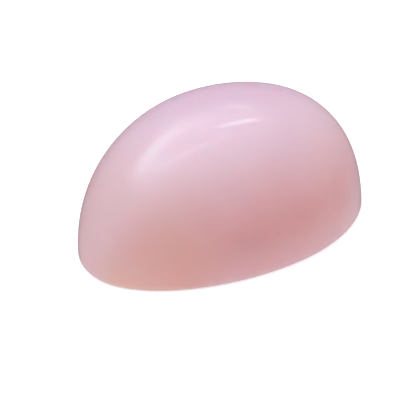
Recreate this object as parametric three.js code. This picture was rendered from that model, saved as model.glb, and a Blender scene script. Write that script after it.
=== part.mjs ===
// Pink opal cabochon: one oval stone, cut with a flat back, a fine bevel round its foot and a high
// polished dome. Millimetres, +Z up, long axis along X, origin at the middle of the flat back.
// The plan is a superellipse, a little fuller towards +X, as a stone cut by hand is.

import * as THREE from "three";

// Driving dimensions
const LENGTH = 14.0; // the calibrated oval, over the girdle
const WIDTH = 10.0;
const HEIGHT = 5.2; // flat back to the top of the dome
const FOOT_BEVEL = 0.06; // width and height of the bevel that keeps the foot from chipping
const CROWN_SHIFT = 0.24; // how far the top of the dome lies towards +X

// Form of the oval and of the dome, with no unit
const OVAL_POWER = 1.92; // 2 is a true ellipse, and a lower value is a little leaner at the corners
const FULLER_END = 0.053; // share by which the +X end is wider than the middle, and the -X end narrower
const CROWN_POWER = 2.5; // higher values flatten the top of the dome
const WALL_POWER = 2.18; // higher values make the wall above the girdle stand steeper

// Fineness of the faceted solid
const SIDES = 56;
const DOME_RINGS = 16;

// The dome's height over its base, from 0 to 1, at a share of the way out from its middle to the girdle.
function domeRise(share) {
  return Math.pow(1 - Math.pow(share, CROWN_POWER), 1 / WALL_POWER);
}

// Half of the stone's section as a unit profile: share of the way out, and height in millimetres.
function sectionProfile() {
  const footShare = 1 - (2 * FOOT_BEVEL) / ((LENGTH + WIDTH) / 2);
  const points = [new THREE.Vector2(0, 0), new THREE.Vector2(footShare, 0)];
  for (let ring = 0; ring < DOME_RINGS; ring++) {
    const share = Math.cos(((Math.PI / 2) * ring) / DOME_RINGS);
    points.push(new THREE.Vector2(share, FOOT_BEVEL + (HEIGHT - FOOT_BEVEL) * domeRise(share)));
  }
  points.push(new THREE.Vector2(0, HEIGHT));
  return points;
}

// A superellipse's cosine or sine.
function rounded(value) {
  return Math.sign(value) * Math.pow(Math.abs(value), 2 / OVAL_POWER);
}

// Turns the unit lathe into the oval: each point keeps its share of the way out and its height.
function shapeToOval(geometry) {
  const position = geometry.getAttribute("position");
  const point = new THREE.Vector3();
  for (let i = 0; i < position.count; i++) {
    point.fromBufferAttribute(position, i);
    const share = Math.hypot(point.x, point.y);
    const turn = Math.atan2(point.y, point.x);
    const along = rounded(Math.cos(turn));
    const across = rounded(Math.sin(turn)) * (1 + FULLER_END * along);
    const shift = CROWN_SHIFT * Math.pow(Math.max(0, point.z - FOOT_BEVEL) / (HEIGHT - FOOT_BEVEL), 2);
    position.setXY(i, share * along * (LENGTH / 2) + shift, share * across * (WIDTH / 2));
  }
}

// The fuller end moves the widest place past the middle, so the width is set from the finished oval.
function setWidth(geometry) {
  geometry.computeBoundingBox();
  const made = geometry.boundingBox.max.y - geometry.boundingBox.min.y;
  geometry.scale(1, WIDTH / made, 1);
}

function cabochonGeometry() {
  const geometry = new THREE.LatheGeometry(sectionProfile(), SIDES);
  geometry.rotateX(Math.PI / 2); // the lathe turns about Y, and the stone stands on Z
  shapeToOval(geometry);
  setWidth(geometry);
  geometry.computeVertexNormals();
  return geometry;
}

const pinkOpal = new THREE.MeshStandardMaterial({
  name: "pink_opal",
  color: new THREE.Color().setStyle("#d9b2ba"),
  roughness: 0.12,
  metalness: 0,
});

const cabochon = new THREE.Mesh(cabochonGeometry(), pinkOpal);
cabochon.name = "cabochon";

const stone = new THREE.Group();
stone.add(cabochon);

export default stone;
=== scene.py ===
# Pink opal cabochon on a light table: one oval stone with a high polished dome and a ground flat back.
# Metres throughout, in the part's own frame: +Z up, long axis along X, origin at the middle of the back.

import math

import bpy
from mathutils import Matrix, Vector


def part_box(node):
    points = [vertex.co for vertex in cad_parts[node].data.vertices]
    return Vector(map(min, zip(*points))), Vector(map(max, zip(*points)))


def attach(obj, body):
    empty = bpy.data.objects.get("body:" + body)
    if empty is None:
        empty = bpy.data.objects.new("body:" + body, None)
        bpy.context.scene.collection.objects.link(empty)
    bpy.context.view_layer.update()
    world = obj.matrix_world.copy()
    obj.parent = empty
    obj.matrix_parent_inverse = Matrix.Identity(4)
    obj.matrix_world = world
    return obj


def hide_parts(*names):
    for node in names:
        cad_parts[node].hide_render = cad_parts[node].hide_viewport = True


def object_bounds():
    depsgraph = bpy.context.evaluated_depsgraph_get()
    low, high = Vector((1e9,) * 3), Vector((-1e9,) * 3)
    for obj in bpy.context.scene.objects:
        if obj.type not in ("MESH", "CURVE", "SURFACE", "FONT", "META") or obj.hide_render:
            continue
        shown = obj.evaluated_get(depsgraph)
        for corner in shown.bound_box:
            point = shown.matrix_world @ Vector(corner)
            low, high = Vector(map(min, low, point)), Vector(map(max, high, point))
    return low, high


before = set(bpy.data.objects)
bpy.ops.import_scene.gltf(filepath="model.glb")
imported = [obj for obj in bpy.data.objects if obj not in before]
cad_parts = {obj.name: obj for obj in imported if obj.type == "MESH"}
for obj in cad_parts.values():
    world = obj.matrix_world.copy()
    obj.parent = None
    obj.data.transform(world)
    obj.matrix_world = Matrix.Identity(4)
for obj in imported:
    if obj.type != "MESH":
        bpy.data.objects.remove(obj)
cad_low, cad_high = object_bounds()
MM = 0.001

# Form of the cut stone. Its length, width and height come from the frame.
FOOT_ROUND = 0.06 * MM  # the fine bevel round the foot, rubbed round
CROWN_SHIFT = 0.24 * MM  # how far the top of the dome lies towards +X
OVAL_POWER = 1.92  # 2 is a true ellipse
FULLER_END = 0.053  # share by which the +X end is wider than the middle
CROWN_POWER = 2.5  # higher values flatten the top of the dome
WALL_POWER = 2.18  # higher values make the wall above the girdle stand steeper

# Fineness of the stone's mesh
SIDES = 192
BACK_RINGS = 10
FOOT_RINGS = 6
DOME_RINGS = 72
WELD_GAP = 0.0001 * MM  # closes the seam and the two poles, and is far finer than any face

# Camera, fitted to the stone's outline in the photograph
CAMERA_AZIMUTH = -51.54  # degrees round the stone; 0 looks along +Y
CAMERA_ELEVATION = 25.0
CAMERA_ROLL = -1.62
CAMERA_DISTANCE = 168 * MM
CAMERA_LENS = 357.2  # millimetres, on Blender's 36 mm sensor
CAMERA_NEAREST = 1 * MM  # nothing closer than this is drawn
AIM_HEIGHT = 2.0 * MM
AIM_ACROSS = -0.3 * MM  # the stone lies a little right of the frame's middle, and above it
AIM_UP = -1.3 * MM

# Colour by height from the foot, 0, to the crown, 1: partly the opal's own zoning and partly painted shade
# and light, a darker salmon band low on the wall where less light reaches and a paler foot and crown
LAYERS_AND_SHADE = (
    (0, "#d2b8c0"),
    (0.1, "#d2b2b3"),
    (0.22, "#cea6a4"),
    (0.36, "#cfa19f"),
    (0.52, "#d4abad"),
    (0.7, "#d7bcc2"),
    (0.86, "#d6c0cb"),
    (1, "#d3b8c9"),
)

# Patches in the end that lies to the left, a pale one, which is painted light standing in for the light
# that falls on that end, and two small salmon clouds near the foot: the middle in millimetres, the reach
# in millimetres, and the colour at the middle
CLOUDS_AND_PAINTED_LIGHT = (
    (-6.36, 0.38, 2.51, 5.88, "#d6bebf"),
    (-5.30, -1.70, 1.00, 2.80, "#d5aea2"),
    (-7.40, -0.70, 0.00, 2.20, "#d6b9ac"),
)

# Opal's texture and polish
BAND_DRIFT = 0.4 * MM  # how far the bands of colour and painted shade would wander at the noise's ends, which it seldom reaches
DRIFT_SIZE = 4.0 * MM  # about the width of one rise or fall of the layers
DRIFT_DETAIL = 1.0
MILK_COLOUR = "#f0dfe0"
MILK_PATCH = 1.6 * MM  # faint milky patches, a little thicker than the stone round them
MILK_DETAIL = 2.0
MILK_EDGE = (0.4, 0.7)  # the noise at which a patch begins, and at which it is fullest
MILK_SHARE = 0.06
MILKINESS = (3.0, 0.9, 0.6)  # how far red, green and blue light spread in the stone, in millimetres
OPAL_IOR = 1.45
POLISH = (0.04, 0.08)  # roughness of the dome, a hand polish that is never quite even
POLISH_EDGE = (0.3, 0.7)  # the noise at which the polish is finest, and at which it is dullest
GROUND = 0.45  # roughness of the back, left as it came off a fine lap
LAP_MARK = (0.12 * MM, 2.5 * MM)  # width and length; real marks are finer and wouldn't show
LAP_DEPTH = 0.03 * MM  # deeper than real marks, for the same reason

# Studio
TABLE_SIZE = 3.0
TABLE_GAP = 0.02 * MM  # a stone never touches a table all over
TABLE_COLOUR = "#f0f0f0"
TABLE_ROUGHNESS = 0.7
TABLE_GLOSS = 0.2  # less than plain acrylic's 0.5, because the sheet is matted
TABLE_GLOW = 0.36  # light that comes up through the table, where 1 is white in the picture
ROOM_COLOUR = "#ffd9e7"
ROOM_GLOW = 0.17
LEAST_RISE = 0.01  # directions that rise less are taken to rise this much: level ones never meet the roof
# The tent's broad glows: degrees from straight up, degrees from straight away from the camera towards
# its right, how tightly the light gathers, the brightness at the middle, and the colour
TENT_GLOWS = (
    (5, 130, 1, 0.88, "#fff1f1"),
    (96, -2, 12, 0.22, "#ffbcca"),
    (108, 50, 5, 0.54, "#c4e8ff"),
    (125, -45, 10, 0.34, "#eafff0"),
)
# Soft lamps on the tent's roof, as the camera sees them. Lengths are in roof heights: how far across
# to the right and away from the viewer, half the width, half the length, degrees that the length turns
# from straight away towards the right, the brightness at the middle, and the colour
ROOF_LAMPS = (
    (0.01, 0.84, 0.96, 1.83, -17, 1.3, "#f6fff3"),
    (-0.49, 0.26, 0.69, 1.21, 161, 2.2, "#a9d1ff"),
    (-0.37, 0.3, 0.28, 0.62, -46, 1.3, "#cef6ff"),
    (-0.45, 0.84, 0.37, 1, 25, 1.8, "#d1ffee"),
    (0.01, 0.39, 0.09, 0.58, 47, 1.9, "#ffe4f9"),
    (0.25, 1.01, 0.13, 0.27, 63, 2.9, "#dcfeff"),
    (0.35, 1.06, 0.07, 0.08, 63, 1.4, "#dcfeff"),
    (0.14, 1.9, 0.12, 0.57, -17, 0.7, "#f9ffff"),
)


def linear(hex_colour):
    """An sRGB hex colour as the linear red, green, blue and alpha that Blender's nodes take."""
    shares = [int(hex_colour[i : i + 2], 16) / 255 for i in (1, 3, 5)]
    return [s / 12.92 if s <= 0.04045 else ((s + 0.055) / 1.055) ** 2.4 for s in shares] + [1.0]


def shine(hex_colour, brightness):
    """The red, green and blue of a light at its brightest."""
    return [share * brightness for share in linear(hex_colour)[:3]]


def add_node(tree, kind, inputs=(), **settings):
    """Adds a node. inputs maps an input's name or place to a value, or to the socket that feeds it."""
    node = tree.nodes.new(kind)
    for name, value in settings.items():
        setattr(node, name, value)
    for place, value in dict(inputs).items():
        if isinstance(value, bpy.types.NodeSocket):
            tree.links.new(value, node.inputs[place])
        else:
            node.inputs[place].default_value = value
    return node


# Camera and studio


def view_axes():
    """The camera's right, up and backward directions."""
    azimuth, elevation, roll = map(math.radians, (CAMERA_AZIMUTH, CAMERA_ELEVATION, CAMERA_ROLL))
    level = math.cos(elevation)
    back = Vector((math.sin(azimuth) * level, -math.cos(azimuth) * level, math.sin(elevation)))
    right = Vector((math.cos(azimuth), math.sin(azimuth), 0))
    up = back.cross(right)
    rolled_right = right * math.cos(roll) + up * math.sin(roll)
    return rolled_right, back.cross(rolled_right), back


def place_camera():
    right, up, back = view_axes()
    aim = Vector((0, 0, AIM_HEIGHT)) + right * AIM_ACROSS + up * AIM_UP
    lens = bpy.data.cameras.new("camera")
    lens.lens = CAMERA_LENS
    lens.clip_start = CAMERA_NEAREST
    camera = bpy.data.objects.new("camera", lens)
    turned = Matrix((right, up, back)).transposed().to_4x4()
    camera.matrix_world = Matrix.Translation(aim + back * CAMERA_DISTANCE) @ turned
    bpy.context.scene.collection.objects.link(camera)
    bpy.context.scene.camera = camera


def light_tent():
    """A white light tent round the table: a dim room low down, broad glows where its lamps light the
    cloth, and soft lamps on its roof that draw the streaks in the polish."""
    world = bpy.data.worlds.new("light_tent")
    world.use_nodes = True
    tree = world.node_tree
    tree.nodes.clear()

    # The direction as the camera has it: X to its right, Y away from it, Z up
    direction = add_node(tree, "ShaderNodeTexCoord").outputs["Generated"]
    turned = {"Vector": direction, "Axis": (0, 0, 1), "Angle": -math.radians(CAMERA_AZIMUTH)}
    seen = add_node(tree, "ShaderNodeVectorRotate", turned).outputs[0]
    light = shine(ROOM_COLOUR, ROOM_GLOW)

    for tilt, bearing, gather, brightness, colour in TENT_GLOWS:
        tilt = math.radians(tilt)
        bearing = math.radians(bearing)
        level = math.sin(tilt)
        middle = (math.sin(bearing) * level, math.cos(bearing) * level, math.cos(tilt))
        near = add_node(tree, "ShaderNodeVectorMath", {0: seen, 1: middle}, operation="DOT_PRODUCT")
        near = add_node(tree, "ShaderNodeMath", {0: near.outputs["Value"], 1: 0.0}, operation="MAXIMUM")
        near = add_node(tree, "ShaderNodeMath", {0: near.outputs[0], 1: gather}, operation="POWER")
        added = {0: near.outputs[0], 1: shine(colour, brightness), 2: light}
        light = add_node(tree, "ShaderNodeVectorMath", added, operation="MULTIPLY_ADD").outputs[0]

    # Where the direction meets the roof, in roof heights
    rise = add_node(tree, "ShaderNodeSeparateXYZ", {0: seen}).outputs[2]
    rise = add_node(tree, "ShaderNodeMath", {0: rise, 1: LEAST_RISE}, operation="MAXIMUM").outputs[0]
    roof = add_node(tree, "ShaderNodeVectorMath", {0: seen, 1: rise}, operation="DIVIDE").outputs[0]
    roof = add_node(tree, "ShaderNodeVectorMath", {0: roof, 1: (1, 1, 0)}, operation="MULTIPLY").outputs[0]

    for across, away, half_width, half_length, turn, brightness, colour in ROOF_LAMPS:
        lamp = {
            "Vector": roof,
            "Location": (across, away, 0),
            "Rotation": (0, 0, -math.radians(turn)),
            "Scale": (half_width, half_length, 1),
        }
        lamp = add_node(tree, "ShaderNodeMapping", lamp, vector_type="TEXTURE").outputs[0]
        # 0 at the lamp's middle and 1 at its edge
        reach = add_node(tree, "ShaderNodeVectorMath", {0: lamp}, operation="LENGTH")
        fade = {"Value": reach.outputs["Value"], 1: 1.0, 2: 0.0, 3: 0.0, 4: 1.0}
        fade = add_node(tree, "ShaderNodeMapRange", fade, interpolation_type="SMOOTHSTEP").outputs[0]
        added = {0: fade, 1: shine(colour, brightness), 2: light}
        light = add_node(tree, "ShaderNodeVectorMath", added, operation="MULTIPLY_ADD").outputs[0]

    glow = add_node(tree, "ShaderNodeBackground", {"Color": light, "Strength": 1.0})
    add_node(tree, "ShaderNodeOutputWorld", {"Surface": glow.outputs[0]})
    bpy.context.scene.world = world


def lay_table():
    half = TABLE_SIZE / 2
    corners = [(-half, -half, 0), (half, -half, 0), (half, half, 0), (-half, half, 0)]
    mesh = bpy.data.meshes.new("light_table")
    mesh.from_pydata(corners, [], [(0, 1, 2, 3)])
    mesh.transform(Matrix.Translation((0, 0, cad_low.z - TABLE_GAP)))
    mesh.materials.append(lit_white_acrylic())
    table = bpy.data.objects.new("light_table", mesh)
    bpy.context.scene.collection.objects.link(table)
    # The polish mirrors the dim room low down instead, so no white edge runs round the stone
    table.visible_glossy = False


def lit_white_acrylic():
    """White acrylic sheet, cast and matted, lit a little from below: no shadow gathers at the stone's
    foot, and its lowest edge glows."""
    material = bpy.data.materials.new("lit_white_acrylic")
    material.use_nodes = True
    surface = material.node_tree.nodes["Principled BSDF"].inputs
    surface["Base Color"].default_value = linear(TABLE_COLOUR)
    surface["Roughness"].default_value = TABLE_ROUGHNESS
    surface["Specular IOR Level"].default_value = TABLE_GLOSS
    surface["Emission Color"].default_value = linear("#ffffff")
    surface["Emission Strength"].default_value = TABLE_GLOW
    return material


# The stone's finish


def polished_pink_opal():
    """Common pink opal, its dome polished on felt and its back left from a fine lap. Light spreads in it,
    so that it looks milky and soft inside under a wet gloss, and its back is matt."""
    material = bpy.data.materials.new("polished_pink_opal")
    material.use_nodes = True
    tree = material.node_tree
    tree.nodes.clear()
    place = add_node(tree, "ShaderNodeTexCoord").outputs["Object"]

    # Colour by height from the foot to the crown, wandering up and down a little: partly the opal's own
    # zoning, partly painted shade and light, darker low on the wall and paler at the foot and crown
    height = add_node(tree, "ShaderNodeSeparateXYZ", {0: place}).outputs[2]
    drift = {"Vector": place, "Scale": 1 / DRIFT_SIZE, "Detail": DRIFT_DETAIL}
    drift = add_node(tree, "ShaderNodeTexNoise", drift).outputs[0]
    drifted = {0: drift, 1: 2 * BAND_DRIFT, 2: height}
    drifted = add_node(tree, "ShaderNodeMath", drifted, operation="MULTIPLY_ADD").outputs[0]
    span = {"Value": drifted, 1: BAND_DRIFT, 2: cad_high.z + BAND_DRIFT}
    share = add_node(tree, "ShaderNodeMapRange", span).outputs[0]
    layers_and_shade = add_node(tree, "ShaderNodeValToRGB", {0: share})
    ramp = layers_and_shade.color_ramp
    ramp.interpolation = "B_SPLINE"
    while len(ramp.elements) < len(LAYERS_AND_SHADE):
        ramp.elements.new(0.5)
    for stop, (level, colour) in zip(ramp.elements, LAYERS_AND_SHADE):
        stop.position = level
        stop.color = linear(colour)

    # The salmon clouds and the pale patch of painted light, each thinning out from its middle
    body = layers_and_shade.outputs[0]
    for x, y, z, reach, colour in CLOUDS_AND_PAINTED_LIGHT:
        middle = (x * MM, y * MM, z * MM)
        distance = add_node(tree, "ShaderNodeVectorMath", {0: place, 1: middle}, operation="DISTANCE")
        thinning = {"Value": distance.outputs["Value"], 1: reach * MM, 2: 0.0, 3: 0.0, 4: 1.0}
        patch_fade = add_node(tree, "ShaderNodeMapRange", thinning, interpolation_type="SMOOTHSTEP")
        mixed = {"Factor": patch_fade.outputs[0], 6: body, 7: linear(colour)}
        body = add_node(tree, "ShaderNodeMix", mixed, data_type="RGBA").outputs[2]

    # Milky patches, so faint that they only keep the colour from looking painted on
    patches = {"Vector": place, "Scale": 1 / MILK_PATCH, "Detail": MILK_DETAIL}
    patches = add_node(tree, "ShaderNodeTexNoise", patches).outputs[0]
    milk = {"Value": patches, 1: MILK_EDGE[0], 2: MILK_EDGE[1], 3: 0.0, 4: MILK_SHARE}
    milk = add_node(tree, "ShaderNodeMapRange", milk).outputs[0]
    mixed = {"Factor": milk, 6: body, 7: linear(MILK_COLOUR)}
    body = add_node(tree, "ShaderNodeMix", mixed, data_type="RGBA").outputs[2]

    # The back is ground, the foot's bevel goes from ground to polished, and the dome is polished
    ground = {"Value": height, 1: 0.0, 2: FOOT_ROUND, 3: 1.0, 4: 0.0}
    ground = add_node(tree, "ShaderNodeMapRange", ground).outputs[0]
    polish = {"Value": patches, 1: POLISH_EDGE[0], 2: POLISH_EDGE[1], 3: POLISH[0], 4: POLISH[1]}
    polish = add_node(tree, "ShaderNodeMapRange", polish).outputs[0]
    roughness = {"Value": ground, 3: polish, 4: GROUND}
    roughness = add_node(tree, "ShaderNodeMapRange", roughness).outputs[0]

    # The lap's straight marks across the back
    marks = {"Vector": place, "Scale": (1 / LAP_MARK[0], 1 / LAP_MARK[1], 1)}
    marks = add_node(tree, "ShaderNodeMapping", marks).outputs[0]
    marks = add_node(tree, "ShaderNodeTexNoise", {"Vector": marks, "Scale": 1.0}).outputs[0]
    marked = {"Strength": ground, "Distance": LAP_DEPTH, "Height": marks}
    marked = add_node(tree, "ShaderNodeBump", marked).outputs[0]

    stone = {
        "Base Color": body,
        "Roughness": roughness,
        "IOR": OPAL_IOR,
        "Subsurface Weight": 1.0,
        "Subsurface Radius": MILKINESS,
        "Subsurface Scale": 1 * MM,
        "Normal": marked,
    }
    surface = add_node(tree, "ShaderNodeBsdfPrincipled", stone)
    add_node(tree, "ShaderNodeOutputMaterial", {"Surface": surface.outputs[0]})
    return material


# The stone


def cut_rule():
    """The cabochon as a rule: a grid whose columns go round the oval and whose rows go from the middle
    of the back, round the foot and up the dome, each point set from its place in the grid."""
    tree = bpy.data.node_groups.new("cut_cabochon", "GeometryNodeTree")
    sizes = ("Length", "Width", "Height", "Foot round", "Crown shift")
    forms = ("Oval power", "Fuller end", "Crown power", "Wall power")
    for name in sizes + forms:
        tree.interface.new_socket(name, in_out="INPUT", socket_type="NodeSocketFloat")
    tree.interface.new_socket("Finish", in_out="INPUT", socket_type="NodeSocketMaterial")
    tree.interface.new_socket("Stone", in_out="OUTPUT", socket_type="NodeSocketGeometry")
    given = add_node(tree, "NodeGroupInput").outputs

    rings = BACK_RINGS + FOOT_RINGS + DOME_RINGS
    counts = {"Size X": 1.0, "Size Y": 1.0, "Vertices X": SIDES + 1, "Vertices Y": rings + 1}
    grid = add_node(tree, "GeometryNodeMeshGrid", counts)
    place = add_node(tree, "GeometryNodeInputPosition")
    place = add_node(tree, "ShaderNodeSeparateXYZ", {0: place.outputs[0]}).outputs

    # Values so far, by name, for the steps below to take up
    value = {socket.name: socket for socket in given}
    value["column"] = place[0]

    # The rows in three runs: the back from its middle out, the turn of the foot, and the dome's turn
    foot_start = BACK_RINGS / rings - 0.5
    dome_start = (BACK_RINGS + FOOT_RINGS) / rings - 0.5
    runs = (
        ("back run", -0.5, foot_start, 1.0),
        ("foot turn", foot_start, dome_start, math.pi / 2),
        ("dome turn", dome_start, 0.5, math.pi / 2),
    )
    for name, start, end, top in runs:
        span = {"Value": place[1], 1: start, 2: end, 3: 0.0, 4: top}
        value[name] = add_node(tree, "ShaderNodeMapRange", span).outputs[0]

    steps = (
        # The foot's round as a share of the way from the middle out, which is on average a quarter of
        # the length and width together
        ("middle size", "ADD", "Length", "Width"),
        ("middle reach", "MULTIPLY", "middle size", 0.25),
        ("foot share", "DIVIDE", "Foot round", "middle reach"),
        # Share of the way out, by row
        ("flat share", "SUBTRACT", 1.0, "foot share"),
        ("back share", "MULTIPLY", "back run", "flat share"),
        ("foot out", "SINE", "foot turn"),
        ("base share", "MULTIPLY_ADD", "foot out", "foot share", "back share"),
        ("dome share", "COSINE", "dome turn"),
        ("share", "MULTIPLY", "base share", "dome share"),
        # Height, by row
        ("crown curve", "POWER", "dome share", "Crown power"),
        ("dome bulge", "SUBTRACT", 1.0, "crown curve"),
        ("wall curve", "DIVIDE", 1.0, "Wall power"),
        ("rise", "POWER", "dome bulge", "wall curve"),
        ("foot drop", "COSINE", "foot turn"),
        ("foot lift", "SUBTRACT", 1.0, "foot drop"),
        ("foot height", "MULTIPLY", "foot lift", "Foot round"),
        ("dome height", "SUBTRACT", "Height", "Foot round"),
        ("height", "MULTIPLY_ADD", "rise", "dome height", "foot height"),
        # Place round the oval, by column
        ("turn", "MULTIPLY", "column", math.tau),
        ("cosine", "COSINE", "turn"),
        ("sine", "SINE", "turn"),
        ("oval curve", "DIVIDE", 2.0, "Oval power"),
        ("cosine side", "SIGN", "cosine"),
        ("cosine size", "ABSOLUTE", "cosine"),
        ("cosine curve", "POWER", "cosine size", "oval curve"),
        ("along", "MULTIPLY", "cosine side", "cosine curve"),
        ("sine side", "SIGN", "sine"),
        ("sine size", "ABSOLUTE", "sine"),
        ("sine curve", "POWER", "sine size", "oval curve"),
        ("oval across", "MULTIPLY", "sine side", "sine curve"),
        ("fuller", "MULTIPLY_ADD", "along", "Fuller end", 1.0),
        ("across", "MULTIPLY", "oval across", "fuller"),
        # The point itself, with the crown moved towards +X
        ("half length", "MULTIPLY", "Length", 0.5),
        ("half width", "MULTIPLY", "Width", 0.5),
        ("share along", "MULTIPLY", "share", "along"),
        ("share across", "MULTIPLY", "share", "across"),
        ("rise squared", "POWER", "rise", 2.0),
        ("shift", "MULTIPLY", "rise squared", "Crown shift"),
        ("x", "MULTIPLY_ADD", "share along", "half length", "shift"),
        ("y", "MULTIPLY", "share across", "half width"),
    )
    for name, operation, *terms in steps:
        terms = {place: value.get(term, term) for place, term in enumerate(terms)}
        value[name] = add_node(tree, "ShaderNodeMath", terms, operation=operation).outputs[0]
    point = add_node(tree, "ShaderNodeCombineXYZ", {0: value["x"], 1: value["y"], 2: value["height"]})

    stages = (
        ("GeometryNodeSetPosition", {"Position": point.outputs[0]}),
        ("GeometryNodeMergeByDistance", {"Distance": WELD_GAP}),
        ("GeometryNodeSetShadeSmooth", {}),
        ("GeometryNodeRealizeInstances", {}),
        ("GeometryNodeSetMaterial", {"Material": value["Finish"]}),
    )
    shape = grid.outputs["Mesh"]
    for kind, inputs in stages:
        shape = add_node(tree, kind, {"Geometry": shape, **inputs}).outputs[0]
    add_node(tree, "NodeGroupOutput", {"Stone": shape})
    return tree


def cut_stone(finish):
    low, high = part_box("cabochon")
    size = high - low
    values = {
        "Length": size.x,
        "Width": size.y,
        "Height": size.z,
        "Foot round": FOOT_ROUND,
        "Crown shift": CROWN_SHIFT,
        "Oval power": OVAL_POWER,
        "Fuller end": FULLER_END,
        "Crown power": CROWN_POWER,
        "Wall power": WALL_POWER,
        "Finish": finish,
    }
    rough = bpy.data.objects.new("rough", bpy.data.meshes.new("rough"))
    bpy.context.scene.collection.objects.link(rough)
    rule = rough.modifiers.new("cut", "NODES")
    rule.node_group = cut_rule()
    for socket in rule.node_group.interface.items_tree:
        if socket.in_out == "INPUT":
            rule[socket.identifier] = values[socket.name]
    evaluated = rough.evaluated_get(bpy.context.evaluated_depsgraph_get())
    mesh = bpy.data.meshes.new_from_object(evaluated)
    mesh.name = "pink_opal_cabochon"
    bpy.data.objects.remove(rough)

    # The fuller end widens the oval a little, so the mesh is brought to the frame's own box
    made = [[f(v.co[axis] for v in mesh.vertices) for f in (min, max)] for axis in range(3)]
    grow = [size[axis] / (most - least) for axis, (least, most) in enumerate(made)]
    mesh.transform(Matrix.Diagonal((*grow, 1)))
    least = Vector(min(v.co[axis] for v in mesh.vertices) for axis in range(3))
    mesh.transform(Matrix.Translation(low - least))

    stone = bpy.data.objects.new("pink_opal_cabochon", mesh)
    bpy.context.scene.collection.objects.link(stone)
    return stone


place_camera()
lay_table()
light_tent()

stone = cut_stone(polished_pink_opal())
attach(stone, "root")
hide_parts("cabochon")

bpy.context.scene.view_settings.view_transform = "Standard"
